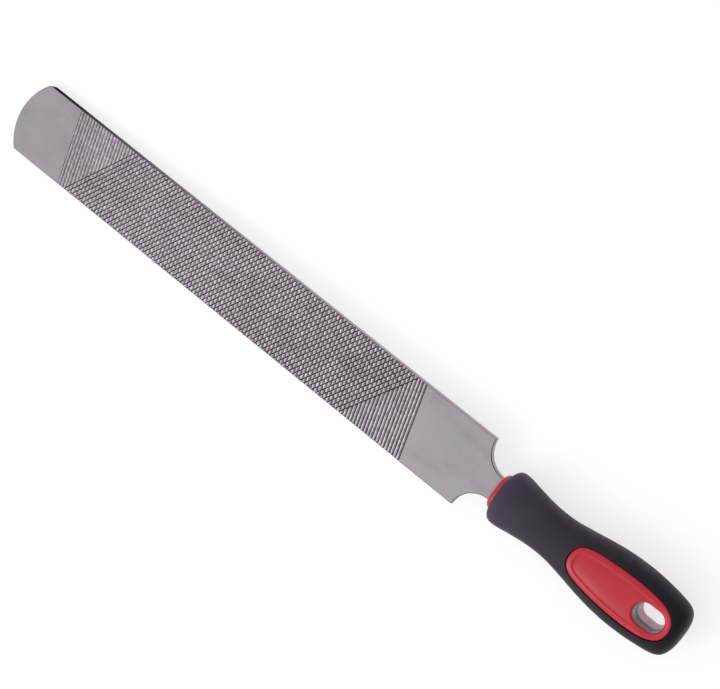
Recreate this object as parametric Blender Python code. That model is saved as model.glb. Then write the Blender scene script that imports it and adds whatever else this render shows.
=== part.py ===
"""Farrier rasp: forged steel rasp blade with an integral tang, driven into a
two-shot handle (hard polypropylene core, soft rubber overmould).

Frame: +X runs along the rasp from the tip to the handle's butt, +Z is the
normal of the file-cut face, +Y completes the right-handed frame. The origin is
the middle of the overall box, on the rasp's centre line.
Lengths in the constants are millimetres; the model is built in metres.
"""

import math

import bmesh
import bpy
import numpy as np
from mathutils import Vector
from mathutils.geometry import delaunay_2d_cdt

MM = 0.001

# ---- blade ------------------------------------------------------------------
BLADE_LENGTH = 348.0        # tip to shoulder: a 14 inch rasp
BLADE_WIDTH = 44.5
BLADE_THICKNESS = 5.0
TIP_SAGITTA = 8.6           # how far the curved tip bows out past its corners
TIP_CORNERS = (4.5, 1.5)    # rounding where the bowed tip meets the +Y and -Y edges
NOTCH_RADIUS = 15.0         # quarter-round shoulders that neck the blade down
NECK_HALF = BLADE_WIDTH / 2 - NOTCH_RADIUS
# tang sections inside the handle: X behind the shoulder, half width, half thickness
TANG_SECTIONS = [(NOTCH_RADIUS, NECK_HALF, 2.5), (30.0, NECK_HALF, 2.3), (92.0, 3.2, 1.6)]

# coarse slanted cut of the file face (+Z), modelled as V grooves; the finer
# cut that crosses it is left to the surface finish
CUT_PITCH = 2.95            # along X
CUT_SLANT = 27.2            # X travel of one groove across the blade's width
CUT_FIRST = -270.4          # first and last groove, at the +Y edge
CUT_LAST = -54.9
CUT_DEPTH = 0.45
CUT_HALF = 0.55             # half the groove's mouth, along X

# punched teeth of the rasp face (-Z), in staggered rows on a field that lies a
# little below the plain metal around it
TEETH_FROM = -314.0
TEETH_TO = -44.0
TEETH_FIELD_DEPTH = 0.15
ROW_PITCH = 5.6
TOOTH_PITCH = 5.0           # across the blade
TOOTH_WIDTH = 3.3
TOOTH_LENGTH = 3.4          # back slope, towards the heel
TOOTH_HEIGHT = 0.75

# ---- handle -----------------------------------------------------------------
HANDLE_END = 141.5          # butt, behind the shoulder
GAP = 0.3                   # clearance kept between touching pieces
SECTION_POWER = 2.35        # superellipse power of the handle's sections
# stations: X behind the shoulder, half width (Y), half thickness (Z)
GRIP_STATIONS = [
    (18.6, 11.6, 9.6), (19.4, 13.5, 10.9), (20.8, 15.3, 12.1), (23.2, 16.3, 12.8),
    (27.5, 16.2, 12.8), (35.0, 15.0, 12.2), (44.0, 13.7, 11.5), (52.5, 13.2, 11.2),
    (61.0, 13.6, 11.4), (71.0, 15.2, 12.1), (83.0, 17.4, 13.1), (94.0, 18.9, 13.8),
    (104.0, 19.5, 14.0), (114.0, 19.3, 14.0), (124.0, 18.4, 13.6), (131.0, 17.3, 13.1),
    (135.2, 16.2, 12.4), (138.2, 14.2, 11.1), (140.2, 10.8, 8.8), (141.2, 6.6, 5.6),
    (HANDLE_END, 2.6, 2.2),
]
CORE_STATIONS = [
    (15.6, 7.9, 6.2), (15.9, 9.1, 7.3), (16.8, 10.3, 8.4), (18.2, 10.8, 8.8),
    (20.5, 10.9, 8.9), (30.0, 10.8, 8.6), (42.0, 10.2, 8.3), (52.5, 10.0, 8.2),
    (62.0, 10.2, 8.3), (74.0, 11.4, 8.9), (86.0, 13.0, 9.8), (98.0, 14.4, 10.4),
    (110.0, 14.8, 10.6), (120.0, 14.3, 10.4), (128.0, 12.9, 9.6), (133.0, 10.6, 8.2),
    (136.0, 7.2, 5.8), (137.2, 3.2, 2.6),
]
# the red face that shows through a window on each broad side of the rubber
FACE_STATIONS = [           # X, half width
    (70.0, 0.0), (70.7, 4.2), (72.6, 7.0), (76.0, 9.1), (82.0, 10.5), (90.0, 11.5),
    (100.0, 12.2), (110.0, 12.4), (118.0, 12.0), (124.5, 11.0), (129.5, 9.2),
    (133.0, 6.6), (134.8, 3.4), (135.3, 0.0),
]
FACE_DROP = 0.35            # the face lies this far below the rubber around it
PANEL_BORDER = 3.4          # width of the raised border around the sunk panel
PANEL_DEPTH = 0.7
SLOT_X = 122.4              # hanging slot
SLOT_LENGTH = 18.6
SLOT_WIDTH = 12.8

SHIFT_X = (BLADE_LENGTH - HANDLE_END) / 2   # shoulder's X in the object's frame
HALF_W = BLADE_WIDTH / 2
HALF_T = BLADE_THICKNESS / 2


def clear_scene():
    for obj in list(bpy.data.objects):
        bpy.data.objects.remove(obj, do_unlink=True)


def material(name, colour, roughness, metallic):
    mat = bpy.data.materials.new(name)
    mat.use_nodes = True
    bsdf = mat.node_tree.nodes["Principled BSDF"]
    bsdf.inputs["Base Color"].default_value = (*colour, 1.0)
    bsdf.inputs["Roughness"].default_value = roughness
    bsdf.inputs["Metallic"].default_value = metallic
    mat.diffuse_color = (*colour, 1.0)
    return mat


def object_from_bmesh(name, bm, mat=None):
    bmesh.ops.recalc_face_normals(bm, faces=bm.faces)
    mesh = bpy.data.meshes.new(name)
    bm.to_mesh(mesh)
    bm.free()
    obj = bpy.data.objects.new(name, mesh)
    bpy.context.scene.collection.objects.link(obj)
    if mat is not None:
        mesh.materials.append(mat)
    return obj


def as_cutter(obj):
    obj.hide_render = True
    obj.display_type = "WIRE"
    return obj


def boolean(obj, operation, other):
    mod = obj.modifiers.new(operation.title(), "BOOLEAN")
    mod.operation = operation
    mod.solver = "EXACT"
    mod.object = other
    return mod


def spot(x, y, z):
    """A point behind the shoulder, in millimetres, as a world point in metres."""
    return ((x + SHIFT_X) * MM, y * MM, z * MM)


def smooth_stations(stations, steps):
    """Catmull-Rom curve through a table of stations."""
    table = np.array(stations, float)
    padded = np.vstack([2 * table[0] - table[1], table, 2 * table[-1] - table[-2]])
    points = []
    for i in range(1, len(padded) - 2):
        p0, p1, p2, p3 = padded[i - 1:i + 3]
        for k in range(steps):
            t = k / steps
            points.append(0.5 * ((2 * p1) + (p2 - p0) * t
                                 + (2 * p0 - 5 * p1 + 4 * p2 - p3) * t * t
                                 + (3 * p1 - p0 - 3 * p2 + p3) * t ** 3))
    points.append(table[-1])
    return np.array(points)


def loft(name, stations, steps, around, grow=0.0, mat=None):
    """Closed body lofted through superellipse sections; grow offsets it outward."""
    rows = smooth_stations(stations, steps)
    if grow:
        rows = rows.copy()
        slope = np.gradient(rows, axis=0)
        length = np.hypot(slope[:, 0], slope[:, 1])
        rows[:, 1] += grow * np.abs(slope[:, 0]) / length
        rows[:, 2] += grow * np.abs(slope[:, 0]) / length
        rows[:, 0] -= grow * slope[:, 1] / length
    bm = bmesh.new()
    rings = []
    for x, a, b in rows:
        ring = []
        for k in range(around):
            angle = 2 * math.pi * k / around
            c, s = math.cos(angle), math.sin(angle)
            y = a * math.copysign(abs(c) ** (2 / SECTION_POWER), c)
            z = b * math.copysign(abs(s) ** (2 / SECTION_POWER), s)
            ring.append(bm.verts.new(spot(x, y, z)))
        rings.append(ring)
    for one, two in zip(rings, rings[1:]):
        for k in range(around):
            n = (k + 1) % around
            bm.faces.new((one[k], one[n], two[n], two[k]))
    bm.faces.new(rings[0])
    bm.faces.new(rings[-1])
    return object_from_bmesh(name, bm, mat)


def prism(name, outline, low, high, mat=None):
    """Upright prism over an outline of (x, y) points in millimetres."""
    bm = bmesh.new()
    bottom = [bm.verts.new(spot(x, y, low)) for x, y in outline]
    top = [bm.verts.new(spot(x, y, high)) for x, y in outline]
    bm.faces.new(bottom)
    bm.faces.new(top)
    for k in range(len(outline)):
        n = (k + 1) % len(outline)
        bm.faces.new((bottom[k], bottom[n], top[n], top[k]))
    return object_from_bmesh(name, bm, mat)


def offset_outline(points, distance):
    """Outline moved along its own normals; a positive distance makes it larger."""
    p = np.array(points, float)
    tangent = np.roll(p, -1, axis=0) - np.roll(p, 1, axis=0)
    normal = np.stack([tangent[:, 1], -tangent[:, 0]], axis=1)
    normal /= np.linalg.norm(normal, axis=1)[:, None]
    area = 0.5 * np.sum(p[:, 0] * np.roll(p[:, 1], -1) - np.roll(p[:, 0], -1) * p[:, 1])
    return (p + normal * distance * (1 if area > 0 else -1)).tolist()


def face_outline(steps=2):
    side = smooth_stations(FACE_STATIONS, steps)
    lower = [(x, -w) for x, w in side]
    upper = [(x, w) for x, w in side[-2:0:-1]]
    return lower + upper


def slot_outline(length, width, segments=10):
    r = width / 2
    reach = length / 2 - r
    points = []
    for k in range(segments + 1):
        angle = -math.pi / 2 + math.pi * k / segments
        points.append((SLOT_X + reach + r * math.cos(angle), r * math.sin(angle)))
    for k in range(segments + 1):
        angle = math.pi / 2 + math.pi * k / segments
        points.append((SLOT_X - reach + r * math.cos(angle), r * math.sin(angle)))
    return points


def tip_outline():
    """Bowed tip from the +Y edge round to the -Y edge, corners rounded."""
    radius = (HALF_W ** 2 + TIP_SAGITTA ** 2) / (2 * TIP_SAGITTA)
    centre = radius - BLADE_LENGTH
    corners, turns = [], []
    for r in TIP_CORNERS:
        inner_y = HALF_W - r
        inner_x = centre - math.sqrt((radius - r) ** 2 - inner_y ** 2)
        turn = math.atan2(inner_y, centre - inner_x)      # where the two arcs meet
        corners.append([(inner_x - r * math.sin(a), inner_y + r * math.cos(a))
                        for a in np.linspace(0, math.pi / 2 - turn, 6)])
        turns.append(turn)
    bow = [(centre - radius * math.cos(a), radius * math.sin(a))
           for a in np.linspace(turns[0], -turns[1], 21)][1:-1]
    return corners[0] + bow + [(x, -y) for x, y in reversed(corners[1])]


def box_rings(bm, sections, grow):
    """One ring of four corners for each (x, half width, half thickness)."""
    return [[bm.verts.new(spot(x, sy * (w + grow), sz * (t + grow)))
             for sy, sz in ((-1, 1), (1, 1), (1, -1), (-1, -1))] for x, w, t in sections]


def skin_rings(bm, rings):
    for one, two in zip(rings, rings[1:]):
        for k in range(4):
            n = (k + 1) % 4
            bm.faces.new((one[k], one[n], two[n], two[k]))


def punched_teeth(bm, corners, level):
    """The rasp face's field: a flat rectangle between the given corner vertices,
    triangulated round the teeth, each a low pyramid with its steep cutting
    face towards the tip."""
    flat = [tuple(v.co.xy) for v in corners]
    edges = [(k, (k + 1) % 4) for k in range(4)]
    bases = []
    row = 0
    x = TEETH_FROM + 2.2
    while x + TOOTH_LENGTH < TEETH_TO - 1.0:
        count = 8 if row % 2 == 0 else 7
        for k in range(count):
            y = (k - (count - 1) / 2) * TOOTH_PITCH
            base = [(x, y - TOOTH_WIDTH / 2), (x + TOOTH_LENGTH, y), (x, y + TOOTH_WIDTH / 2)]
            start = len(flat)
            flat += [spot(px, py, 0)[:2] for px, py in base]
            edges += [(start, start + 1), (start + 1, start + 2), (start + 2, start)]
            bases.append((x, y, start))
        row += 1
        x += ROW_PITCH
    points, _, faces, origin, _, _ = delaunay_2d_cdt(
        [Vector(p) for p in flat], edges, [], 1, 1e-7)
    verts = {}
    for i, p in enumerate(points):
        known = [k for k in origin[i] if k < 4]
        verts[i] = corners[known[0]] if known else bm.verts.new((p[0], p[1], level * MM))
    index = {k: i for i, ks in enumerate(origin) for k in ks}
    tooth_faces = {frozenset(index[start + j] for j in range(3)) for _, _, start in bases}
    for face in faces:
        if frozenset(face) not in tooth_faces:
            bm.faces.new([verts[i] for i in face])
    for px, py, start in bases:
        apex = bm.verts.new(spot(px + 0.35, py, level - TOOTH_HEIGHT))
        ring = [verts[index[start + j]] for j in range(3)]
        for j in range(3):
            bm.faces.new((ring[j], ring[(j + 1) % 3], apex))


def build_blade(mat):
    """Plate with a bowed tip, V grooves across its upper face, a field of
    punched teeth underneath, notched shoulders and an integral tapered tang."""
    tip = tip_outline()
    notch = [(NOTCH_RADIUS - NOTCH_RADIUS * math.cos(a), HALF_W - NOTCH_RADIUS * math.sin(a))
             for a in np.linspace(0, math.pi / 2, 13)]

    bm = bmesh.new()
    count = int((CUT_LAST - CUT_FIRST) / CUT_PITCH) + 1
    left, right = [], []       # upper-edge points along the +Y and -Y edges
    for i in range(count):
        x = CUT_FIRST + i * CUT_PITCH
        for dx, dz in ((-CUT_HALF, 0.0), (0.0, -CUT_DEPTH), (CUT_HALF, 0.0)):
            left.append(bm.verts.new(spot(x + dx, HALF_W, HALF_T + dz)))
            right.append(bm.verts.new(spot(x + dx - CUT_SLANT, -HALF_W, HALF_T + dz)))
    for k in range(len(left) - 1):
        bm.faces.new((left[k], left[k + 1], right[k + 1], right[k]))

    def rim(points, z):
        return [bm.verts.new(spot(x, y, z)) for x, y in points]

    tang = box_rings(bm, TANG_SECTIONS, 0.0)
    neck_right_top, neck_left_top, neck_left_low, neck_right_low = tang[0]
    heel_right = [(x, -y) for x, y in notch[:-1]]            # -Y shoulder to the neck
    heel_left = list(reversed(notch[:-1]))                   # neck to the +Y shoulder
    top_tip, low_tip = rim(tip, HALF_T), rim(tip, -HALF_T)
    top_right = rim(heel_right, HALF_T) + [neck_right_top]
    low_right = rim(heel_right, -HALF_T) + [neck_right_low]
    top_left = [neck_left_top] + rim(heel_left, HALF_T)
    low_left = [neck_left_low] + rim(heel_left, -HALF_T)

    bm.faces.new([left[0], *top_tip, right[0]])                   # plain tip zone
    bm.faces.new([right[-1], *top_right, *top_left, left[-1]])    # plain heel and neck
    # underside: plain tip, sunk toothed field between two short steps, plain heel
    field = -HALF_T + TEETH_FIELD_DEPTH
    front_out = rim([(TEETH_FROM, HALF_W), (TEETH_FROM, -HALF_W)], -HALF_T)
    back_out = rim([(TEETH_TO, -HALF_W), (TEETH_TO, HALF_W)], -HALF_T)
    front_in = rim([(TEETH_FROM + 0.3, HALF_W), (TEETH_FROM + 0.3, -HALF_W)], field)
    back_in = rim([(TEETH_TO - 0.3, -HALF_W), (TEETH_TO - 0.3, HALF_W)], field)
    bm.faces.new([*low_tip, front_out[1], front_out[0]])
    bm.faces.new([*low_right, *low_left, back_out[1], back_out[0]])
    bm.faces.new([front_out[0], front_out[1], front_in[1], front_in[0]])
    bm.faces.new([back_in[1], back_in[0], back_out[0], back_out[1]])
    punched_teeth(bm, [front_in[0], front_in[1], back_in[0], back_in[1]], field)
    # long edges
    bm.faces.new([top_tip[-1], *right, top_right[0], low_right[0],
                  back_out[0], back_in[0], front_in[1], front_out[1], low_tip[-1]])
    bm.faces.new([*reversed(left), top_tip[0], low_tip[0], front_out[0], front_in[0],
                  back_in[1], back_out[1], low_left[-1], top_left[-1]])
    for top, low in ((top_tip, low_tip), (top_right, low_right), (top_left, low_left)):
        for k in range(len(top) - 1):
            bm.faces.new((top[k], top[k + 1], low[k + 1], low[k]))
    skin_rings(bm, tang)
    bm.faces.new(tang[-1])
    obj = object_from_bmesh("rasp_blade", bm, mat)
    obj.data.shade_smooth()
    obj.data.set_sharp_from_angle(angle=math.radians(25))
    return obj


def tang_socket():
    """The tang's shape grown by the gap, open towards the handle's nose."""
    bm = bmesh.new()
    mouth = (NOTCH_RADIUS - 5.0, *TANG_SECTIONS[0][1:])
    end = (TANG_SECTIONS[-1][0] + GAP, *TANG_SECTIONS[-1][1:])
    rings = box_rings(bm, [mouth, *TANG_SECTIONS[:-1], end], GAP)
    skin_rings(bm, rings)
    bm.faces.new(rings[0])
    bm.faces.new(rings[-1])
    return object_from_bmesh("tang_socket", bm)


def build_core(mat):
    """Hard core: nose boss in front, socket for the tang, faces that stand up
    through the rubber on both broad sides, and the hanging slot."""
    core = loft("handle_core", CORE_STATIONS, 1, 28, mat=mat)

    face = as_cutter(prism("face_block", face_outline(), -20, 20))
    boolean(face, "INTERSECT", as_cutter(loft("face_limit", GRIP_STATIONS, 2, 32, -FACE_DROP)))
    boolean(core, "UNION", face)

    panel = as_cutter(prism("panel_block", offset_outline(face_outline(), -PANEL_BORDER), -20, 20))
    boolean(panel, "DIFFERENCE",
            as_cutter(loft("panel_floor", GRIP_STATIONS, 2, 32, -FACE_DROP - PANEL_DEPTH)))
    boolean(core, "DIFFERENCE", panel)

    boolean(core, "DIFFERENCE", as_cutter(tang_socket()))
    boolean(core, "DIFFERENCE",
            as_cutter(prism("hanging_slot", slot_outline(SLOT_LENGTH, SLOT_WIDTH), -20, 20)))
    core.data.shade_smooth()
    core.data.set_sharp_from_angle(angle=math.radians(35))
    return core


def build_grip(mat):
    """Soft overmould: an open front collar, a window on each broad side for the
    core's face, and a closed butt."""
    grip = loft("grip_overmould", GRIP_STATIONS, 2, 32, mat=mat)
    boolean(grip, "DIFFERENCE", as_cutter(loft("core_room", CORE_STATIONS, 1, 28, GAP)))
    boolean(grip, "DIFFERENCE",
            as_cutter(prism("window", offset_outline(face_outline(), GAP), -20, 20)))
    grip.data.shade_smooth()
    grip.data.set_sharp_from_angle(angle=math.radians(35))
    return grip


def main():
    clear_scene()
    steel = material("rasp_steel", (0.40, 0.38, 0.39), 0.42, 0.9)
    red = material("red_core_plastic", (0.52, 0.045, 0.07), 0.35, 0.0)
    black = material("black_grip_rubber", (0.030, 0.027, 0.032), 0.72, 0.0)
    build_blade(steel)
    build_core(red)
    build_grip(black)


main()
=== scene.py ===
"""Looks of the farrier rasp: a steel blade with real cut and punched teeth, and a
two-material moulded handle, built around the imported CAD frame."""

import math

import bmesh
import bpy
import numpy as np
from mathutils import Matrix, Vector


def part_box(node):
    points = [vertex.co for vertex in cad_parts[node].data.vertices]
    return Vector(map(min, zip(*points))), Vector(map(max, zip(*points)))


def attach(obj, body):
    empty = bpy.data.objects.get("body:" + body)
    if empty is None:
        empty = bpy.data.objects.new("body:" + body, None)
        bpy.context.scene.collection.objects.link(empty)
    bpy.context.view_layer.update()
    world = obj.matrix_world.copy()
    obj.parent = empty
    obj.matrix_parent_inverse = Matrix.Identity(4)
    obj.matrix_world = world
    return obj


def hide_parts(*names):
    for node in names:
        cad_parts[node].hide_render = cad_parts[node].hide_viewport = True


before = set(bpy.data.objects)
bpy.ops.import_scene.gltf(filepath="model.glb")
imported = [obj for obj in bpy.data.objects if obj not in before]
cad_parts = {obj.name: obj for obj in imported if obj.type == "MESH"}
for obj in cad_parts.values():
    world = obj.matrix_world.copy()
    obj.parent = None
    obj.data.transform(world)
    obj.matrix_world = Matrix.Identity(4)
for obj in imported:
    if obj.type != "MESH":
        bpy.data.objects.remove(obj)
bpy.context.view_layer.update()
MM = 0.001

# ---------------------------------------------------------------- the frame's sizes
blade_low, blade_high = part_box("rasp_blade")
grip_low, grip_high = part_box("grip_overmould")
core_low, core_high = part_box("handle_core")
BLADE_LENGTH = 348.0
SHOULDER_X = blade_low.x / MM + BLADE_LENGTH      # shoulder's X in the frame, mm
HALF_W = blade_high.y / MM
HALF_T = 2.5
HANDLE_END = grip_high.x / MM - SHOULDER_X
TIP_SAGITTA, TIP_CORNERS, NOTCH_R = 8.6, (4.5, 1.5), 15.0
NECK_HALF = HALF_W - NOTCH_R
EDGE = 0.375                                      # broken edge of the plate
TANG = [(NOTCH_R, NECK_HALF, 2.5), (30.0, NECK_HALF, 2.3), (92.0, 3.2, 1.6)]
POWER = 2.35
GRIP_STATIONS = [
    (18.6, 11.6, 9.6), (19.4, 13.5, 10.9), (20.8, 15.3, 12.1), (23.2, 16.3, 12.8),
    (27.5, 16.2, 12.8), (35.0, 15.0, 12.2), (44.0, 13.7, 11.5), (52.5, 13.2, 11.2),
    (61.0, 13.6, 11.4), (71.0, 15.2, 12.1), (83.0, 17.4, 13.1), (94.0, 18.9, 13.8),
    (104.0, 19.5, 14.0), (114.0, 19.3, 14.0), (124.0, 18.4, 13.6), (131.0, 17.3, 13.1),
    (135.2, 16.2, 12.4), (138.2, 14.2, 11.1), (140.2, 10.8, 8.8), (141.2, 6.6, 5.6),
    (HANDLE_END, 2.6, 2.2),
]
CORE_STATIONS = [
    (15.6, 7.9, 6.2), (15.9, 9.1, 7.3), (16.8, 10.3, 8.4), (18.2, 10.8, 8.8),
    (20.5, 10.9, 8.9), (30.0, 10.8, 8.6), (42.0, 10.2, 8.3), (52.5, 10.0, 8.2),
    (62.0, 10.2, 8.3), (74.0, 11.4, 8.9), (86.0, 13.0, 9.8), (98.0, 14.4, 10.4),
    (110.0, 14.8, 10.6), (120.0, 14.3, 10.4), (128.0, 12.9, 9.6), (133.0, 10.6, 8.2),
    (136.0, 7.2, 5.8), (137.2, 3.2, 2.6),
]
FACE_STATIONS = [
    (70.0, 0.0), (70.7, 4.2), (72.6, 7.0), (76.0, 9.1), (82.0, 10.5), (90.0, 11.5),
    (100.0, 12.2), (110.0, 12.4), (118.0, 12.0), (124.5, 11.0), (129.5, 9.2),
    (133.0, 6.6), (134.8, 3.4), (135.3, 0.0),
]
GAP = 0.3
FACE_DROP = 0.35
PANEL_BORDER, PANEL_DEPTH = 3.4, 0.7
SLOT_X, SLOT_LENGTH, SLOT_WIDTH, SLOT_ROUND, SLOT_LEDGE = 122.4, 18.6, 12.8, 1.6, 0.9
LIP_ROUND = 0.8


# ---------------------------------------------------------------- mesh helpers
def to_world(p):
    """Points behind the shoulder, in mm, as points of the frame, in metres."""
    q = np.array(p, float).reshape(-1, 3) * MM
    q[:, 0] += SHOULDER_X * MM
    return q


def new_object(name, points, faces):
    mesh = bpy.data.meshes.new(name)
    mesh.from_pydata(to_world(points).tolist(), [], faces)
    mesh.update()
    obj = bpy.data.objects.new(name, mesh)
    bpy.context.scene.collection.objects.link(obj)
    return obj


class Builder:
    """Collects points and faces in mm, and merges what coincides."""

    def __init__(self):
        self.points, self.faces, self.marks, self.count = [], [], [], 0

    def add(self, points, faces, mark=0):
        self.points.append(np.array(points, float).reshape(-1, 3))
        self.faces += [[i + self.count for i in f] for f in faces]
        self.marks += [mark] * len(faces)
        self.count += len(self.points[-1])

    def build(self, name, within=0.002):
        p = np.vstack(self.points)
        key = np.round(p / within).astype(np.int64)
        _, first, index = np.unique(key, axis=0, return_index=True, return_inverse=True)
        index = index.reshape(-1)
        faces, marks = [], []
        for f, m in zip(self.faces, self.marks):
            g = [int(index[i]) for i in f]
            g = [v for k, v in enumerate(g) if v != g[k - 1]]
            if len(set(g)) >= 3 and len(set(g)) == len(g):
                faces.append(g)
                marks.append(m)
        obj = new_object(name, p[first], faces)
        obj.data.polygons.foreach_set("material_index", marks)
        bm = bmesh.new()
        bm.from_mesh(obj.data)
        bmesh.ops.delete(bm, geom=[v for v in bm.verts if not v.link_faces], context="VERTS")
        bmesh.ops.recalc_face_normals(bm, faces=bm.faces)
        bm.to_mesh(obj.data)
        bm.free()
        return obj


def grid_faces(rows, cols):
    i, j = np.meshgrid(np.arange(rows - 1), np.arange(cols - 1), indexing="ij")
    a = (i * cols + j).ravel()
    return np.stack([a, a + 1, a + cols + 1, a + cols], 1)


def zipper(one, two):
    """Triangles between two polylines of (x, y, z) points that both run along +X."""
    pts = list(one) + list(two)
    n, i, j, faces = len(one), 0, 0, []
    while i < len(one) - 1 or j < len(two) - 1:
        if j == len(two) - 1 or (i < len(one) - 1 and one[i + 1][0] <= two[j + 1][0]):
            faces.append((i, i + 1, n + j))
            i += 1
        else:
            faces.append((i, n + j + 1, n + j))
            j += 1
    return pts, faces


# ---------------------------------------------------------------- blade
# Fine cut: ridges that lean one way across the blade. Coarse cut: deeper, narrow
# grooves that cross them the other way. Each is a sawtooth along X, steep
# towards the tip: (distance into the period, depth).
LEAN_1, FIRST_1, LAST_1, PITCH_1 = -0.255, -314.0, -50.2, 2.17
LEAN_2, FIRST_2, LAST_2, PITCH_2 = 0.611, -270.4, -54.9, 2.91
CUT_1 = [(0.0, 0.48), (0.36, 0.0), (0.78, 0.02), (1.48, 0.28)]
# The second cut pushes metal back into the first one's grooves beside it, so
# each point also says how much of the first cut's depth is left there.
CUT_2 = [(0.0, 0.62, 0.30), (0.36, 0.01, 0.38), (0.88, 0.0, 1.0), (1.78, 0.04, 1.0),
         (2.42, 0.12, 0.42)]


def cut_lines(first, last, pitch, profile, lean):
    """Grid positions along a cut's own coordinate, and the depth at each."""
    start = first - lean * HALF_W            # coordinate of the first groove
    count = int(round((last - first) / pitch))
    lines, depth, left = [start - 0.45], [0.0], [1.0]
    for k in range(count):
        for d, h, *share in profile:
            lines.append(start + k * pitch + d)
            depth.append(h)
            left.append(share[0] if share else 1.0)
    lines += [start + count * pitch, start + count * pitch + 0.36]
    depth += [profile[0][1], 0.0]
    left += [profile[0][2] if len(profile[0]) > 2 else 1.0, 1.0]
    return np.array(lines), np.array(depth), np.array(left)


def file_face(build):
    """The upper face's cut zone, sharp-edged, clipped at the plate's long edges.
    Returns the two clipped edges as polylines, and the zone's corner points."""
    u, du, _ = cut_lines(FIRST_1, LAST_1, PITCH_1, CUT_1, LEAN_1)
    v, dv, left = cut_lines(FIRST_2, LAST_2, PITCH_2, CUT_2, LEAN_2)
    spread = (LEAN_2 - LEAN_1)
    v = np.concatenate([[u[0] - spread * 60], v, [u[-1] + spread * 60]])
    dv = np.concatenate([[0.0], dv, [0.0]])
    left = np.concatenate([[1.0], left, [1.0]])
    U, V = np.meshgrid(u, v, indexing="ij")
    DU, DV = np.meshgrid(du, dv, indexing="ij")
    Y = (U - V) / spread
    X = U + LEAN_1 * Y
    DU = DU * left[None] * (0.66 + 0.34 * np.clip((X + 300) / 210, 0, 1))
    D = np.maximum(DU, DV) + 0.25 * np.minimum(DU, DV)
    # Uneven strikes of the chisel, so that no two teeth are quite alike
    wob = (np.sin(X * 1.7 + Y * 2.3) * np.cos(X * 0.61 - Y * 1.9)
           + 0.6 * np.sin(X * 0.23 + 1.3) * np.cos(Y * 0.9 + X * 0.05))
    D = D * (1.0 + 0.10 * wob)
    pts = np.stack([X.ravel(), Y.ravel(), (HALF_T - D).ravel()], 1)
    quads = grid_faces(*U.shape)
    yq = pts[quads][:, :, 1]
    inside = (yq.min(1) < HALF_W) & (yq.max(1) > -HALF_W)
    quads = quads[inside]
    used = np.unique(quads)
    remap = -np.ones(len(pts), int)
    remap[used] = np.arange(len(used))
    mesh = bpy.data.meshes.new("cut")
    mesh.from_pydata(pts[used].tolist(), [], remap[quads].tolist())
    bm = bmesh.new()
    bm.from_mesh(mesh)
    bpy.data.meshes.remove(mesh)
    for y in (HALF_W, HALF_W - EDGE, EDGE - HALF_W, -HALF_W):
        bmesh.ops.bisect_plane(bm, geom=bm.verts[:] + bm.edges[:] + bm.faces[:], dist=1e-5,
                               plane_co=(0, y, 0), plane_no=(0, 1, 0),
                               clear_outer=y == HALF_W, clear_inner=y == -HALF_W)
    for vert in bm.verts:
        if abs(abs(vert.co.y) - HALF_W) < 1e-3:
            vert.co.y = math.copysign(HALF_W, vert.co.y)
            vert.co.z -= EDGE
        elif abs(abs(vert.co.y) - (HALF_W - EDGE)) < 1e-3:
            vert.co.y = math.copysign(HALF_W - EDGE, vert.co.y)
    bm.verts.ensure_lookup_table()
    edges = []
    for side in (1, -1):
        line = sorted((tuple(p.co) for p in bm.verts if p.co.y * side > HALF_W - 1e-4),
                      key=lambda p: p[0])
        edges.append(line)
    bm.verts.index_update()
    points = [tuple(p.co) for p in bm.verts]
    for mark, low, high in ((1, EDGE - HALF_W, HALF_W - EDGE), (2, HALF_W - EDGE, 99),
                            (3, -99, EDGE - HALF_W)):
        faces = [[p.index for p in f.verts] for f in bm.faces
                 if low < f.calc_center_median().y < high]
        build.add(points, faces, mark)
    bm.free()
    ends = {}
    for key, line in (("front", u[0]), ("back", u[-1])):
        ends[key] = {y: (line + LEAN_1 * y) for y in
                     (HALF_W, HALF_W - EDGE, EDGE - HALF_W, -HALF_W)}
    return edges, ends


# punched teeth: rows across the blade, every second row shifted by half a tooth
FIELD_FROM, FIELD_TO, FIELD_Z = -314.0, -44.0, -2.35
ROW_PITCH, TOOTH_PITCH = 5.6, 5.0
TOOTH_H, TOOTH_W, PIT_D, PIT_L, BACK_L = 0.74, 3.5, 0.85, 1.95, 3.4


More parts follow.
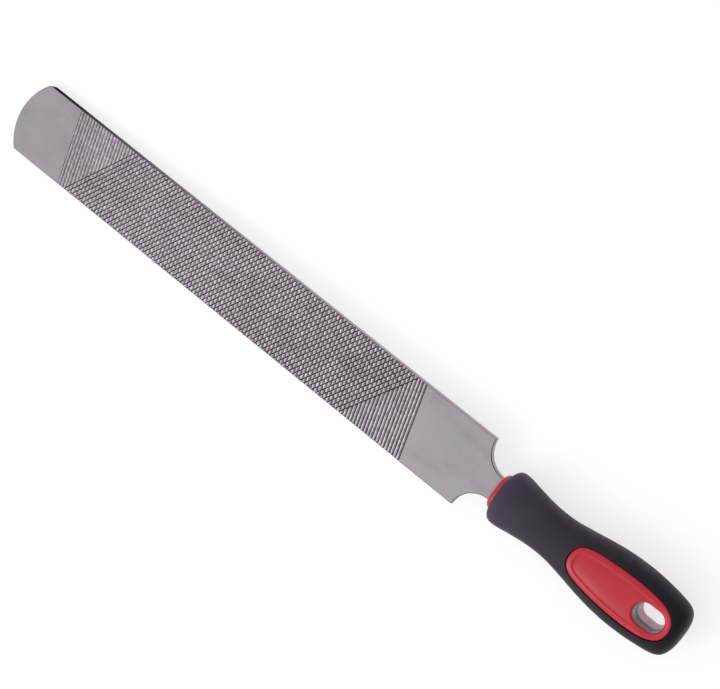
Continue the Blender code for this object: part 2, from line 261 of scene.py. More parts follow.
def rasp_face(build):
    """The underside's field of punched teeth; returns its long edges."""
    inner = HALF_W - EDGE
    steps = [-1.95, -1.6, -1.25, -0.9, -0.55, -0.22, -0.03, 0.13, 0.42, 0.85, 1.35, 1.9, 2.5, 3.05]
    xs, owner = [FIELD_FROM + 0.3], [-1]
    row, x = 0, FIELD_FROM + 2.2
    rows = []
    while x + BACK_L < FIELD_TO - 1.0:
        rows.append(x)
        xs += [x + s for s in steps]
        owner += [row] * len(steps)
        row += 1
        x += ROW_PITCH
    xs.append(rows[-1] + 3.5)
    owner.append(len(rows) - 1)
    xs.append(FIELD_TO - 0.3)
    owner.append(-1)
    xs, owner = np.array(xs), np.array(owner)
    step = TOOTH_PITCH / 10
    ys = np.arange(-45, 46) * step
    ys = np.concatenate([[-inner], ys[np.abs(ys) < inner - 0.05], [inner]])
    X, Y = np.meshgrid(xs, ys, indexing="ij")
    R = np.repeat(owner[:, None], len(ys), 1)
    Z = np.zeros_like(X)
    for r, x0 in enumerate(rows):
        count = 8 if r % 2 == 0 else 7
        sel = R == r
        s = X[sel] - x0
        y = Y[sel]
        k = np.clip(np.round(y / TOOTH_PITCH + (count - 1) / 2), 0, count - 1)
        strike = 1.0 + 0.10 * np.sin(k * 2.7 + r * 1.9)
        t = (y - (k - (count - 1) / 2) * TOOTH_PITCH) / (TOOTH_W / 2)
        z = np.zeros_like(s)
        pit = s < 0.05
        narrow = np.clip(1 + s / PIT_L, 1e-3, 1)
        z[pit] = -(PIT_D * strike * narrow * np.clip(1 - (t / narrow) ** 2, 0, 1) ** 0.8)[pit]
        b = np.clip(1 - s / BACK_L, 0, 1)
        wide = 0.98 * (0.45 + 0.55 * b)
        z[~pit] = (TOOTH_H * strike * b ** 1.15
                   * np.clip(1 - (t / wide) ** 2, 0, 1) ** 0.9)[~pit]
        Z[sel] = z
    pts = np.stack([X.ravel(), Y.ravel(), (FIELD_Z - Z).ravel()], 1)
    build.add(pts, grid_faces(*X.shape).tolist(), 1)
    lines = []
    for side in (1, -1):
        inner_line = [(x, side * inner, FIELD_Z) for x in xs]
        outer_line = [(x, side * HALF_W, FIELD_Z + EDGE) for x in xs]
        n = len(xs)
        build.add(inner_line + outer_line,
                  [(i, i + 1, n + i + 1, n + i) for i in range(n - 1)], 2 if side > 0 else 3)
        lines.append(outer_line)
    # short steps down from the plain metal at both ends of the field
    for plain, field in ((FIELD_FROM, xs[0]), (FIELD_TO, xs[-1])):
        across = [(plain, inner, -HALF_T), (plain, -inner, -HALF_T)]
        line = [(field, y, FIELD_Z) for y in ys]
        n = len(line)
        build.add(line + across, [list(range(n)) + [n, n + 1]], 0)
        for side in (1, -1):
            build.add([(plain, side * inner, -HALF_T), (plain, side * HALF_W, EDGE - HALF_T),
                       (field, side * HALF_W, FIELD_Z + EDGE), (field, side * inner, FIELD_Z)],
                      [(0, 1, 2, 3)], 0)
    return lines


def tip_curve(inset, fine=28):
    """Bowed tip from the +Y edge to the -Y edge, moved in by inset."""
    radius = (HALF_W ** 2 + TIP_SAGITTA ** 2) / (2 * TIP_SAGITTA)
    centre = radius - BLADE_LENGTH
    corners, turns = [], []
    for corner in TIP_CORNERS:
        cy = HALF_W - corner
        cx = centre - math.sqrt((radius - corner) ** 2 - cy ** 2)
        turn = math.atan2(cy, centre - cx)
        r = corner - inset
        corners.append([(cx - r * math.sin(a), cy + r * math.cos(a))
                        for a in np.linspace(0, math.pi / 2 - turn, 12)])
        turns.append(turn)
    big = radius - inset
    bow = [(centre - big * math.cos(a), big * math.sin(a))
           for a in np.linspace(turns[0], -turns[1], fine * 2 + 1)][1:-1]
    return corners[0] + bow + [(x, -y) for x, y in reversed(corners[1])]


def notch_curve(inset, fine=28):
    """+Y shoulder to the neck, moved into the metal by inset."""
    r = NOTCH_R + inset
    start = math.asin(inset / r)
    pts = [(NOTCH_R - r * math.cos(a), HALF_W - r * math.sin(a))
           for a in np.linspace(start, math.pi / 2, fine)]
    return pts


def plain_zones(build, ends, lines_up, lines_low):
    """Uncut tip and heel on both faces, their broken edges, the outline's walls,
    and the tang."""
    tip_out, tip_in = tip_curve(0.0), tip_curve(EDGE)
    notch_out, notch_in = notch_curve(0.0), notch_curve(EDGE)
    n = len(tip_out)
    for z, zz, corners in ((HALF_T, HALF_T - EDGE, ends["front"]),
                           (-HALF_T, EDGE - HALF_T, None)):
        f = (lambda y: corners[y]) if corners else (lambda y: FIELD_FROM)
        inner = ([(f(HALF_W - EDGE), HALF_W - EDGE, z)] + [(x, y, z) for x, y in tip_in]
                 + [(f(EDGE - HALF_W), EDGE - HALF_W, z)])
        outer = ([(f(HALF_W), HALF_W, zz)] + [(x, y, zz) for x, y in tip_out]
                 + [(f(-HALF_W), -HALF_W, zz)])
        m = len(inner)
        build.add(inner, [list(range(m))], 0)
        for i in range(m - 1):
            build.add([inner[i], inner[i + 1], outer[i + 1], outer[i]], [(0, 1, 2, 3)],
                      2 if i == 0 else 3)
    build.add([(x, y, HALF_T - EDGE) for x, y in tip_out]
              + [(x, y, EDGE - HALF_T) for x, y in tip_out],
              [(i, i + 1, n + i + 1, n + i) for i in range(n - 1)], 2)
    # tang: eight-sided sections with broken edges
    rings = []
    for x, w, t in TANG:
        rings.append([(x, w - EDGE, t), (x, w, t - EDGE), (x, w, EDGE - t), (x, w - EDGE, -t),
                      (x, EDGE - w, -t), (x, -w, EDGE - t), (x, -w, t - EDGE), (x, EDGE - w, t)])
    for a, b in zip(rings, rings[1:]):
        build.add(a + b, [(k, (k + 1) % 8, 8 + (k + 1) % 8, 8 + k) for k in range(8)], 0)
    build.add(rings[-1], [list(range(8))], 0)
    # heel
    for z, zz, corners in ((HALF_T, HALF_T - EDGE, ends["back"]),
                           (-HALF_T, EDGE - HALF_T, None)):
        f = (lambda y: corners[y]) if corners else (lambda y: FIELD_TO)
        left_in = [(f(HALF_W - EDGE), HALF_W - EDGE, z)] + [(x, y, z) for x, y in notch_in]
        right_in = [(f(EDGE - HALF_W), EDGE - HALF_W, z)] + [(x, -y, z) for x, y in notch_in]
        left_out = [(f(HALF_W), HALF_W, zz)] + [(x, y, zz) for x, y in notch_out]
        right_out = [(f(-HALF_W), -HALF_W, zz)] + [(x, -y, zz) for x, y in notch_out]
        m = len(left_in)
        build.add(left_in + right_in[::-1], [list(range(2 * m))], 0)
        for a, b in ((left_in, left_out), (right_in, right_out)):
            for i in range(m - 1):
                build.add([a[i], a[i + 1], b[i + 1], b[i]], [(0, 1, 2, 3)],
                          2 if i == 0 and a is left_in else 3)
    k = len(notch_out)
    for side in (1, -1):
        build.add([(x, side * y, HALF_T - EDGE) for x, y in notch_out]
                  + [(x, side * y, EDGE - HALF_T) for x, y in notch_out],
                  [(i, i + 1, k + i + 1, k + i) for i in range(k - 1)], 2)
    # long edges, between the scalloped upper edge and the lower one
    for side, up, low in ((1, lines_up[0], lines_low[0]), (-1, lines_up[1], lines_low[1])):
        x_tip, x_heel = tip_out[0][0], notch_out[0][0]
        y = side * HALF_W
        top = [(x_tip, y, HALF_T - EDGE), *up, (x_heel, y, HALF_T - EDGE)]
        bottom = [(x_tip, y, EDGE - HALF_T), (FIELD_FROM, y, EDGE - HALF_T), *low,
                  (FIELD_TO, y, EDGE - HALF_T), (x_heel, y, EDGE - HALF_T)]
        build.add(*zipper(top, bottom), 2)


def make_blade():
    build = Builder()
    lines_up, ends = file_face(build)
    lines_low = rasp_face(build)
    plain_zones(build, ends, lines_up, lines_low)
    obj = build.build("blade")
    obj.data.shade_smooth()
    for face in obj.data.polygons:           # the ground long edges are true flats
        if abs(face.normal.y) > 0.995:
            face.use_smooth = False
    obj.data.set_sharp_from_angle(angle=math.radians(24))
    return obj


# ---------------------------------------------------------------- handle
def smooth_stations(stations, steps):
    table = np.array(stations, float)
    padded = np.vstack([2 * table[0] - table[1], table, 2 * table[-1] - table[-2]])
    points = []
    for i in range(1, len(padded) - 2):
        p0, p1, p2, p3 = padded[i - 1:i + 3]
        for k in range(steps):
            t = k / steps
            points.append(0.5 * ((2 * p1) + (p2 - p0) * t
                                 + (2 * p0 - 5 * p1 + 4 * p2 - p3) * t * t
                                 + (3 * p1 - p0 - 3 * p2 + p3) * t ** 3))
    points.append(table[-1])
    return np.array(points)


def even_rows(stations, spacing):
    """The smooth profile, resampled at an even distance along it."""
    rows = smooth_stations(stations, 24)
    run = np.concatenate([[0], np.cumsum(np.hypot(np.diff(rows[:, 0]), np.diff(rows[:, 1])))])
    at = np.linspace(0, run[-1], max(8, int(run[-1] / spacing)))
    return np.stack([np.interp(at, run, rows[:, k]) for k in range(3)], 1)


def loft_grid(rows, around):
    angle = 2 * np.pi * np.arange(around) / around
    c, s = np.cos(angle), np.sin(angle)
    cy = np.sign(c) * np.abs(c) ** (2 / POWER)
    cz = np.sign(s) * np.abs(s) ** (2 / POWER)
    X = np.repeat(rows[:, :1], around, 1)
    return X, rows[:, 1:2] * cy[None], rows[:, 2:3] * cz[None]


def loft_object(name, X, Y, Z):
    r, a = X.shape
    pts = np.stack([X.ravel(), Y.ravel(), Z.ravel()], 1)
    faces = []
    for i in range(r - 1):
        for k in range(a):
            n = (k + 1) % a
            faces.append((i * a + k, i * a + n, (i + 1) * a + n, (i + 1) * a + k))
    faces.append(tuple(range(a)))
    faces.append(tuple((r - 1) * a + k for k in range(a)))
    obj = new_object(name, pts, faces)
    fix_normals(obj)
    return obj


def fix_normals(obj):
    bm = bmesh.new()
    bm.from_mesh(obj.data)
    bmesh.ops.recalc_face_normals(bm, faces=bm.faces)
    bm.to_mesh(obj.data)
    bm.free()


def grown(rows, grow):
    rows = rows.copy()
    slope = np.gradient(rows, axis=0)
    length = np.hypot(slope[:, 0], slope[:, 1])
    rows[:, 1] += grow * np.abs(slope[:, 0]) / length
    rows[:, 2] += grow * np.abs(slope[:, 0]) / length
    rows[:, 0] -= grow * slope[:, 1] / length
    return rows


def face_outline(steps=6):
    """The red face's outline in plan: a closed smooth curve, from its front nose
    along -Y and back along +Y."""
    side = [(x, -w) for x, w in FACE_STATIONS]
    p = np.array(side + [(x, -y) for x, y in side[-2:0:-1]])
    a, b, c, d = (np.roll(p, k, axis=0) for k in (1, 0, -1, -2))
    t = (np.arange(steps) / steps)[:, None, None]
    q = 0.5 * (2 * b + (c - a) * t + (2 * a - 5 * b + 4 * c - d) * t ** 2
               + (3 * b - a - 3 * c + d) * t ** 3)
    return [tuple(point) for point in q.transpose(1, 0, 2).reshape(-1, 2).tolist()]


def offset_outline(points, distance):
    p = np.array(points, float)
    tangent = np.roll(p, -1, axis=0) - np.roll(p, 1, axis=0)
    normal = np.stack([tangent[:, 1], -tangent[:, 0]], axis=1)
    normal /= np.linalg.norm(normal, axis=1)[:, None]
    area = 0.5 * np.sum(p[:, 0] * np.roll(p[:, 1], -1) - np.roll(p[:, 0], -1) * p[:, 1])
    return (p + normal * distance * (1 if area > 0 else -1)).tolist()


def slot_outline(grow=0.0, segments=28):
    r, reach = SLOT_WIDTH / 2 + grow, SLOT_LENGTH / 2 - SLOT_WIDTH / 2
    pts = [(SLOT_X + reach + r * math.cos(a), r * math.sin(a))
           for a in np.linspace(-math.pi / 2, math.pi / 2, segments)]
    return pts + [(SLOT_X - reach + r * math.cos(a), r * math.sin(a))
                  for a in np.linspace(math.pi / 2, 3 * math.pi / 2, segments)]


def ease(t):
    t = np.clip(t, 0, 1)
    return t * t * (3 - 2 * t)


def ring_loft(name, rings):
    n = len(rings[0])
    pts = [p for ring in rings for p in ring]
    faces = [list(range(n)), [(len(rings) - 1) * n + k for k in range(n)]]
    for i in range(len(rings) - 1):
        faces += [(i * n + k, i * n + (k + 1) % n, (i + 1) * n + (k + 1) % n, (i + 1) * n + k)
                  for k in range(n)]
    obj = new_object(name, pts, faces)
    fix_normals(obj)
    return obj


def apply_booleans(obj, *steps):
    for operation, other in steps:
        mod = obj.modifiers.new(operation, "BOOLEAN")
        mod.operation, mod.solver, mod.object = operation, "EXACT", other
    bpy.context.view_layer.update()
    depsgraph = bpy.context.evaluated_depsgraph_get()
    mesh = bpy.data.meshes.new_from_object(obj.evaluated_get(depsgraph))
    obj.modifiers.clear()
    old = obj.data
    obj.data = mesh
    bpy.data.meshes.remove(old)
    for _, other in steps:
        bpy.data.objects.remove(other)
    return obj


SPACING, AROUND = ((0.38, 256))


def socket_cutter():
    rings = []
    for x, w, t in [(NOTCH_R - 5, NECK_HALF, 2.5), *TANG[:-1], (TANG[-1][0] + GAP, *TANG[-1][1:])]:
        w, t = w + GAP, t + GAP
        rings.append([(x, w, t), (x, w, -t), (x, -w, -t), (x, -w, t)])
    return ring_loft("socket_cutter", rings)


def skin_over(stations, grow=0.0):
    """Height of a lofted skin above the middle plane, as a function of x and y."""
    rows = grown(even_rows(stations, 0.5), grow)
    rows = rows[np.argsort(rows[:, 0])]

    def height(x, y):
        a, b = (np.interp(x, rows[:, 0], rows[:, k]) for k in (1, 2))
        return b * np.clip(1 - (np.abs(y) / a) ** POWER, 0, 1) ** (1 / POWER)
    return height


def mouth(outline, height, r, side):
    """Rings of a through cutter, from its straight wall out past the skin, with the
    edge it leaves there rounded over by r; outline(grow) is the opening in plan."""
    last, run = math.radians(72), 1.6
    turns = [(r * (1 - math.cos(a)), r * (math.sin(last) - math.sin(a)))
             for a in np.linspace(0.0, last, 8)]
    turns.append((turns[-1][0] + run * math.sin(last), -run * math.cos(last)))
    rings = [[(x, y, side * (height(x, y) - below)) for x, y in outline(grow)]
             for grow, below in turns]
    rings.append([(x, y, side * 22.0) for x, y, _ in rings[-1]])
    return rings


def slot_cutter(skin):
    """The hanging slot: rounded over at both faces, with a small ledge where the
    moulds' pins met and a slightly narrower far half."""
    def panel(x, y):
        return skin(x, y) - PANEL_DEPTH
    middle = [[(x, y, z) for x, y in slot_outline(grow)]
              for z, grow in ((0.45, -0.08), (0.25, -SLOT_LEDGE))]
    return ring_loft("slot_cutter", mouth(slot_outline, panel, SLOT_ROUND, 1)[::-1] + middle
                     + mouth(lambda grow: slot_outline(grow - SLOT_LEDGE), panel, SLOT_ROUND, -1))


def make_face(skin):
    """The red face on both sides of the handle: a raised border with a rounded rim,
    round a slightly sunk panel, in rings that follow its outline."""
    outline = face_outline()
    r = 0.6
    profile = [(r * (1 - math.cos(a)), r * (1 - math.sin(a)))
               for a in np.linspace(0, math.pi / 2, 6)]
    profile += [(1.4, 0.0), (2.2, 0.0)]
    profile += [(PANEL_BORDER + d, PANEL_DEPTH * float(ease(0.5 + d / 1.1)))
                for d in np.linspace(-0.55, 0.55, 9)]
    plan = [(np.array(offset_outline(outline, -inset)), drop) for inset, drop in profile]
    last = plan[-1][0]
    low, high = last[:, 0].min(), last[:, 0].max()
    spine = np.stack([low + 6 + (last[:, 0] - low) * (high - low - 12) / (high - low),
                      0 * last[:, 1]], 1)
    plan += [(spine + (last - spine) * f, PANEL_DEPTH)
             for f in (0.88, 0.75, 0.62, 0.49, 0.36, 0.23, 0.10)]
    top = [[(x, y, skin(x, y) - drop) for x, y in ring.tolist()] for ring, drop in plan]
    rings = top[::-1] + [[(x, y, -z) for x, y, z in ring] for ring in top]
    n = len(outline)
    faces = [(i * n + k, i * n + (k + 1) % n, (i + 1) * n + (k + 1) % n, (i + 1) * n + k)
             for i in range(len(rings) - 1) for k in range(n)]
    for start in (0, (len(rings) - 1) * n):
        faces += [[start + v for v in dict.fromkeys((k, k + 1, n - k - 1, (n - k) % n))]
                  for k in range(n // 2)]
    obj = new_object("core_face", [p for ring in rings for p in ring], faces)
    fix_normals(obj)
    return obj


def make_core():
    skin = skin_over(GRIP_STATIONS, -FACE_DROP)
    core = loft_object("core", *loft_grid(even_rows(CORE_STATIONS, SPACING * 1.2), AROUND // 2))
    apply_booleans(core, ("UNION", make_face(skin)), ("DIFFERENCE", socket_cutter()),
                   ("DIFFERENCE", slot_cutter(skin)))
    core.data.shade_smooth()
    core.data.set_sharp_from_angle(angle=math.radians(38))
    return core


def make_grip():
    outline = face_outline()
    X, Y, Z = loft_grid(even_rows(GRIP_STATIONS, SPACING), AROUND)
    # the moulds' parting line, a hair of flash round both sides
    Y[:, 0] += 0.07
    Y[:, AROUND // 2] -= 0.07
    grip = loft_object("grip", X, Y, Z)
    room = loft_object("core_room", *loft_grid(grown(even_rows(CORE_STATIONS, 1.2), GAP), 64))
    skin = skin_over(GRIP_STATIONS)

    def window(grow):
        return offset_outline(outline, GAP + grow)
    cutter = ring_loft("window", mouth(window, skin, LIP_ROUND, 1)[::-1]
                       + mouth(window, skin, LIP_ROUND, -1))
    apply_booleans(grip, ("DIFFERENCE", room), ("DIFFERENCE", cutter))
    grip.data.shade_smooth()
    grip.data.set_sharp_from_angle(angle=math.radians(38))
    return grip


# ---------------------------------------------------------------- materials
class Shader:
    """Small helper for node materials."""

    def __init__(self, name):
        self.mat = bpy.data.materials.new(name)
        self.mat.use_nodes = True
        self.tree = self.mat.node_tree
        self.bsdf = self.tree.nodes["Principled BSDF"]
        self.coords = self.tree.nodes.new("ShaderNodeTexCoord")

    def node(self, kind, **values):
        made = self.tree.nodes.new(kind)
        for key, value in values.items():
            if hasattr(made, key):
                setattr(made, key, value)
            else:
                made.inputs[key.replace("_", " ")].default_value = value
        return made

    def link(self, a, b):
        self.tree.links.new(a, b)

    def set(self, **values):
        for key, value in values.items():
            self.bsdf.inputs[key.replace("_", " ")].default_value = value

    def noise(self, scale, detail=4.0, stretch=(1, 1, 1), rough=0.55):
        mapping = self.node("ShaderNodeMapping")
        mapping.inputs["Scale"].default_value = stretch
        self.link(self.coords.outputs["Object"], mapping.inputs["Vector"])
        made = self.node("ShaderNodeTexNoise")
        made.inputs["Scale"].default_value = scale
        made.inputs["Detail"].default_value = detail
        made.inputs["Roughness"].default_value = rough
        self.link(mapping.outputs["Vector"], made.inputs["Vector"])
        return made.outputs["Fac"]

    def ramp(self, source, stops):
        made = self.node("ShaderNodeValToRGB")
        ramp = made.color_ramp
        while len(ramp.elements) < len(stops):
            ramp.elements.new(0.5)
        for element, (at, colour) in zip(ramp.elements, stops):
            element.position = at
            element.color = (*colour, 1.0) if len(colour) == 3 else colour
        self.link(source, made.inputs["Fac"])
        return made.outputs["Color"]

    def span(self, source, low, high, to_low=0.0, to_high=1.0):
        made = self.node("ShaderNodeMapRange")
        for key, value in (("From Min", low), ("From Max", high),
                           ("To Min", to_low), ("To Max", to_high)):
            made.inputs[key].default_value = value
        self.link(source, made.inputs["Value"])
        return made.outputs["Result"]

    def mix(self, kind, factor, a, b):
        made = self.node("ShaderNodeMix")
        made.data_type = "RGBA"
        made.blend_type = kind
        for value, socket in ((factor, made.inputs[0]), (a, made.inputs[6]), (b, made.inputs[7])):
            if isinstance(value, bpy.types.NodeSocket):
                self.link(value, socket)
            else:
                socket.default_value = value
        return made.outputs[2]

    def bump(self, *layers):
        """Stacked bumps: (height socket, strength, distance in metres)."""
        last = None
        for height, strength, distance in layers:
            made = self.node("ShaderNodeBump")
            made.inputs["Strength"].default_value = strength
            made.inputs["Distance"].default_value = distance
            self.link(height, made.inputs["Height"])
            if last is not None:
                self.link(last, made.inputs["Normal"])
            last = made.outputs["Normal"]
        self.link(last, self.bsdf.inputs["Normal"])


def steel(name, toothed=False, edge=False, corner=False):
    s = Shader(name)
    s.set(Metallic=0.88, Roughness=0.42)
    if edge:
        s.bsdf.inputs["Specular IOR Level"].default_value = 0.0
    split = s.node("ShaderNodeSeparateXYZ")
    s.link(s.coords.outputs["Object"], split.inputs["Vector"])
    # faint stains and handling marks, then a fine sand-blasted grain
    broad = s.noise(26.0, 5.0, (1, 1.6, 1), 0.6)
    colour = s.ramp(broad, [(0.30, (0.335, 0.315, 0.330)), (0.52, (0.385, 0.355, 0.385)),
                            (0.75, (0.405, 0.385, 0.400))])
    smear = s.noise(62.0, 3.0, (0.7, 1.5, 1), 0.5)
    colour = s.mix("MULTIPLY", 0.55, colour,
                   s.ramp(smear, [(0.30, (0.86, 0.85, 0.845)), (0.38, (0.92, 0.915, 0.91)),
                                  (0.44, (1.0, 1.0, 1.0))]))
    grain = s.noise(2600.0, 2.0)
    colour = s.mix("MULTIPLY", 0.35, colour,
                   s.ramp(grain, [(0.30, (0.80, 0.80, 0.80)), (0.65, (1.08, 1.08, 1.08))]))
    if toothed:
        # painted highlights on the crests and painted shade in the groove bottoms, by height, on
        # either face
        height = s.node("ShaderNodeMath", operation="ABSOLUTE")
        s.link(split.outputs["Z"], height.inputs[0])
        crest_highlight_groove_shade = s.ramp(s.span(height.outputs[0], 0.0018, 0.0026),
                       [(0.0, (0.040, 0.037, 0.041)), (0.34, (0.17, 0.16, 0.17)),
                        (0.60, (0.80, 0.78, 0.80)), (0.79, (1.36, 1.34, 1.37)),
                        (0.885, (2.10, 2.07, 2.13))])
        # darker towards the tip, brighter towards the heel
        colour = s.mix("MULTIPLY", 1.0, colour,
                       s.ramp(s.span(split.outputs["X"], -0.24, 0.06),
                              [(0.0, (0.62, 0.62, 0.62)), (0.20, (0.86, 0.86, 0.86)),
                               (0.30, (0.98, 0.98, 0.98)), (0.80, (1.12, 1.12, 1.12)),
                               (0.90, (1.06, 1.06, 1.06))]))
        colour = s.mix("MULTIPLY", 1.0, colour, crest_highlight_groove_shade)
        worn = s.noise(420.0, 2.0, (1.0, 1.0, 0.2), 0.7)
        colour = s.mix("MULTIPLY", 1.0, colour,
                       s.ramp(worn, [(0.30, (0.74, 0.73, 0.74)), (0.50, (1.0, 1.0, 1.0)),
                                     (0.68, (1.34, 1.33, 1.36))]))
    if corner:
        # painted shade: the broken edges this material covers are darkened in noisy patches, as
        # dark outlines
        colour = s.mix("MULTIPLY", 1.0, colour,
                       s.ramp(s.noise(300.0, 3.0, (1, 1, 1)),
                              [(0.35, (0.08, 0.075, 0.08)), (0.62, (0.34, 0.33, 0.34))]))
    if edge:
        # painted shade on the long edges, darkest at the tip and fading out towards the heel
        along = s.span(split.outputs["X"], -0.25, 0.06)
        colour = s.mix("MULTIPLY", 1.0, colour,
                       s.ramp(along, [(0.0, (0.010, 0.010, 0.010)), (0.13, (0.03, 0.03, 0.03)),
                                      (0.36, (0.45, 0.44, 0.45)), (0.75, (1.05, 1.03, 1.02))]))
        s.link(s.span(along, 0.02, 0.45), s.bsdf.inputs["Metallic"])
    s.link(colour, s.bsdf.inputs["Base Color"])
    s.link(s.span(broad, 0.25, 0.75, 0.36, 0.50), s.bsdf.inputs["Roughness"])
    s.bump((grain, 0.25, 0.00004), (smear, 0.08, 0.0002))
    return s.mat


def red_plastic():
    s = Shader("red_core_plastic")
    s.set(Roughness=0.34, IOR=1.49)
    cloud = s.noise(38.0, 3.0)
    colour = s.ramp(cloud, [(0.30, (0.55, 0.015, 0.036)), (0.70, (0.63, 0.020, 0.045))])
    # inside the hanging slot the wall carries painted light and shade: pale painted light below
    # the moulds' meeting line, a painted highlight on the line, and painted shade above it
    split = s.node("ShaderNodeSeparateXYZ")
    s.link(s.coords.outputs["Object"], split.inputs["Vector"])
    reach = (SLOT_LENGTH - SLOT_WIDTH) / 2 * MM
    along = s.node("ShaderNodeMath", operation="SUBTRACT")
    along.inputs[1].default_value = (SHOULDER_X + SLOT_X) * MM
    s.link(split.outputs["X"], along.inputs[0])
    size = s.node("ShaderNodeMath", operation="ABSOLUTE")
    s.link(along.outputs[0], size.inputs[0])
    past = s.node("ShaderNodeMath", operation="SUBTRACT")
    past.inputs[1].default_value = reach
    s.link(size.outputs[0], past.inputs[0])
    clipped = s.node("ShaderNodeMath", operation="MAXIMUM")
    clipped.inputs[1].default_value = 0.0
    s.link(past.outputs[0], clipped.inputs[0])
    radial = s.node("ShaderNodeCombineXYZ")
    s.link(clipped.outputs[0], radial.inputs["X"])
    s.link(split.outputs["Y"], radial.inputs["Y"])
    far = s.node("ShaderNodeVectorMath", operation="LENGTH")
    s.link(radial.outputs["Vector"], far.inputs[0])
    radius = SLOT_WIDTH / 2 * MM
    within = s.span(far.outputs["Value"], radius + 0.0009, radius + 0.0001)
    # painted light and shade by height down the slot wall, fading towards red at the rim
    upper = s.ramp(s.span(split.outputs["Z"], -0.0125, 0.0125),
                   [(0.0, (0.56, 0.33, 0.37)), (0.25, (0.52, 0.31, 0.35)),
                    (0.47, (0.66, 0.48, 0.51)), (0.512, (0.98, 0.90, 0.91)),
                    (0.535, (0.16, 0.085, 0.09)), (0.84, (0.20, 0.075, 0.08)),
                    (0.94, (0.36, 0.030, 0.050)), (1.0, (0.50, 0.018, 0.040))])
    # painted highlights in patches at both ends, above the line
    ends = s.node("ShaderNodeMath", operation="MULTIPLY")
    s.link(s.span(size.outputs[0], 0.0052, 0.0082), ends.inputs[0])
    s.link(s.span(split.outputs["Z"], 0.0105, 0.0080), ends.inputs[1])
    above = s.node("ShaderNodeMath", operation="MULTIPLY")
    s.link(ends.outputs[0], above.inputs[0])
    s.link(s.span(split.outputs["Z"], 0.0006, 0.0012), above.inputs[1])
    slot_end_painted_highlight = s.node("ShaderNodeMath", operation="MULTIPLY")
    s.link(above.outputs[0], slot_end_painted_highlight.inputs[0])
    s.link(s.span(s.noise(420.0, 3.0), 0.35, 0.55, 0.35, 1.0), slot_end_painted_highlight.inputs[1])
    upper = s.mix("MIX", slot_end_painted_highlight.outputs[0], upper, (0.62, 0.50, 0.50, 1.0))
    colour = s.mix("MIX", within, colour, upper)
    s.link(colour, s.bsdf.inputs["Base Color"])
    spark = s.noise(1500.0, 3.0)
    s.link(s.span(s.noise(120.0, 4.0), 0.3, 0.7, 0.28, 0.40), s.bsdf.inputs["Roughness"])
    s.bump((spark, 0.12, 0.00006))
    return s.mat


def black_rubber():
    s = Shader("black_grip_rubber")
    s.set(Roughness=0.56)
    s.bsdf.inputs["Specular IOR Level"].default_value = 0.26
    cloud = s.noise(30.0, 4.0)
    colour = s.ramp(cloud, [(0.30, (0.0150, 0.0118, 0.0170)), (0.72, (0.0215, 0.0170, 0.0245))])
    # painted light on the front flare, fading to painted shade at the butt
    split = s.node("ShaderNodeSeparateXYZ")
    s.link(s.coords.outputs["Object"], split.inputs["Vector"])
    along = s.span(split.outputs["X"], (SHOULDER_X + 18) * MM, (SHOULDER_X + 140) * MM)
    colour = s.mix("MULTIPLY", 1.0, colour,
                   s.ramp(along, [(0.0, (3.3, 3.05, 3.5)), (0.30, (1.9, 1.8, 1.95)),
                                  (0.7, (0.75, 0.74, 0.80)), (1.0, (0.10, 0.08, 0.16))]))
    s.link(colour, s.bsdf.inputs["Base Color"])
    leather = s.noise(900.0, 3.0, (1, 1, 1), 0.6)
    s.link(s.span(s.noise(90.0, 3.0), 0.3, 0.7, 0.50, 0.62), s.bsdf.inputs["Roughness"])
    s.bump((leather, 0.35, 0.00008))
    return s.mat


def floor_material():
    s = Shader("floor")
    s.set(Roughness=0.9)
    s.bsdf.inputs["Base Color"].default_value = (0.42, 0.42, 0.42, 1)
    s.bsdf.inputs["Specular IOR Level"].default_value = 0.1
    s.bsdf.inputs["Emission Color"].default_value = (1, 1, 1, 1)
    s.bsdf.inputs["Emission Strength"].default_value = 0.68
    return s.mat


# ---------------------------------------------------------------- the pieces
blade = make_blade()
for part in (steel("steel_plain"), steel("steel_teeth", toothed=True),
             steel("steel_edge_painted_shade", edge=True), steel("steel_chamfer_painted_shade", corner=True)):
    blade.data.materials.append(part)
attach(blade, "root")
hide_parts("rasp_blade")

core = make_core()
core.data.materials.clear()
core.data.materials.append(red_plastic())
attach(core, "root")
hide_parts("handle_core")

grip = make_grip()
grip.data.materials.clear()
grip.data.materials.append(black_rubber())
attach(grip, "root")
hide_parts("grip_overmould")

# ---------------------------------------------------------------- stage
# The rasp lies on the grip's front flare and the tip of the blade, with the butt
# clear of the floor: its weight is nearly all in the blade.
flare_x, flare_z = SHOULDER_X + 25.5, -max(b for _, _, b in GRIP_STATIONS[:6]) - 0.30
tip_x, tip_z = SHOULDER_X - BLADE_LENGTH + 1.0, -2.52
slope = (flare_z - tip_z) / (flare_x - tip_x)
size = 6.0
corners = [(x, y, tip_z * MM + slope * (x - tip_x * MM)) for x, y in
           ((-size, -size), (size, -size), (size, size), (-size, size))]
mesh = bpy.data.meshes.new("floor")
mesh.from_pydata(corners, [], [(0, 1, 2, 3)])
floor = bpy.data.objects.new("floor", mesh)
bpy.context.scene.collection.objects.link(floor)
floor.data.materials.append(floor_material())

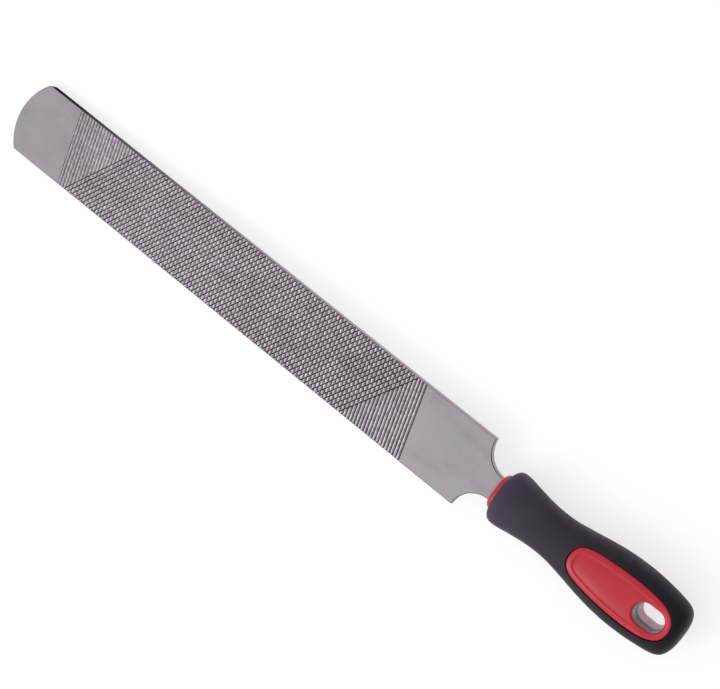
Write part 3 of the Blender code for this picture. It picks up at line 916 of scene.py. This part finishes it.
# A soft studio: brightest high on the -Y side, dimmer on the far side.
world = bpy.data.worlds.new("studio")
world.use_nodes = True
tree = world.node_tree
direction = tree.nodes.new("ShaderNodeTexCoord").outputs["Generated"]
facing = tree.nodes.new("ShaderNodeVectorMath")
facing.operation = "DOT_PRODUCT"
facing.inputs[1].default_value = (-0.33, -0.60, 0.73)
tree.links.new(direction, facing.inputs[0])
level = tree.nodes.new("ShaderNodeMapRange")
for key, value in (("From Min", -0.6), ("From Max", 1.0), ("To Min", 0.36), ("To Max", 0.86)):
    level.inputs[key].default_value = value
tree.links.new(facing.outputs["Value"], level.inputs["Value"])
tree.links.new(level.outputs["Result"], tree.nodes["Background"].inputs["Strength"])
tree.nodes["Background"].inputs["Color"].default_value = (1, 1, 1, 1)
bpy.context.scene.world = world


def area_light(name, place, aim, size, power):
    data = bpy.data.lights.new(name, "AREA")
    data.shape, data.size, data.energy = "DISK", size, power
    obj = bpy.data.objects.new(name, data)
    bpy.context.scene.collection.objects.link(obj)
    towards = Matrix.Translation(aim).translation - Matrix.Translation(place).translation
    obj.location = place
    obj.rotation_euler = towards.to_track_quat("-Z", "Y").to_euler()
    return obj


area_light("key", (-0.55, -1.15, 1.20), (0.0, 0.0, 0.0), 0.9, 7.0)

camera_data = bpy.data.cameras.new("camera")
camera_data.lens, camera_data.sensor_width = 100.0, 36.0
camera_data.clip_start, camera_data.clip_end = 0.05, 50.0
camera = bpy.data.objects.new("camera", camera_data)
bpy.context.scene.collection.objects.link(camera)
# The camera looks down from beside the butt, over the +Y edge.
RIGHT = (0.7510153, 0.5458382, -0.37153287)
UP = (-0.59914042, 0.79983312, -0.03602413)
BACK = (0.27750095, 0.24965504, 0.92772064)
AT = (0.2135874 + SHOULDER_X * MM, 0.2925601, 1.0299716)
camera.matrix_world = Matrix((
    (RIGHT[0], UP[0], BACK[0], AT[0]),
    (RIGHT[1], UP[1], BACK[1], AT[1]),
    (RIGHT[2], UP[2], BACK[2], AT[2]),
    (0.0, 0.0, 0.0, 1.0),
))
bpy.context.scene.camera = camera
bpy.context.scene.view_settings.view_transform = "Standard"

bpy.context.view_layer.update()


def plain(box):
    return [[float(value) for value in corner] for corner in box]
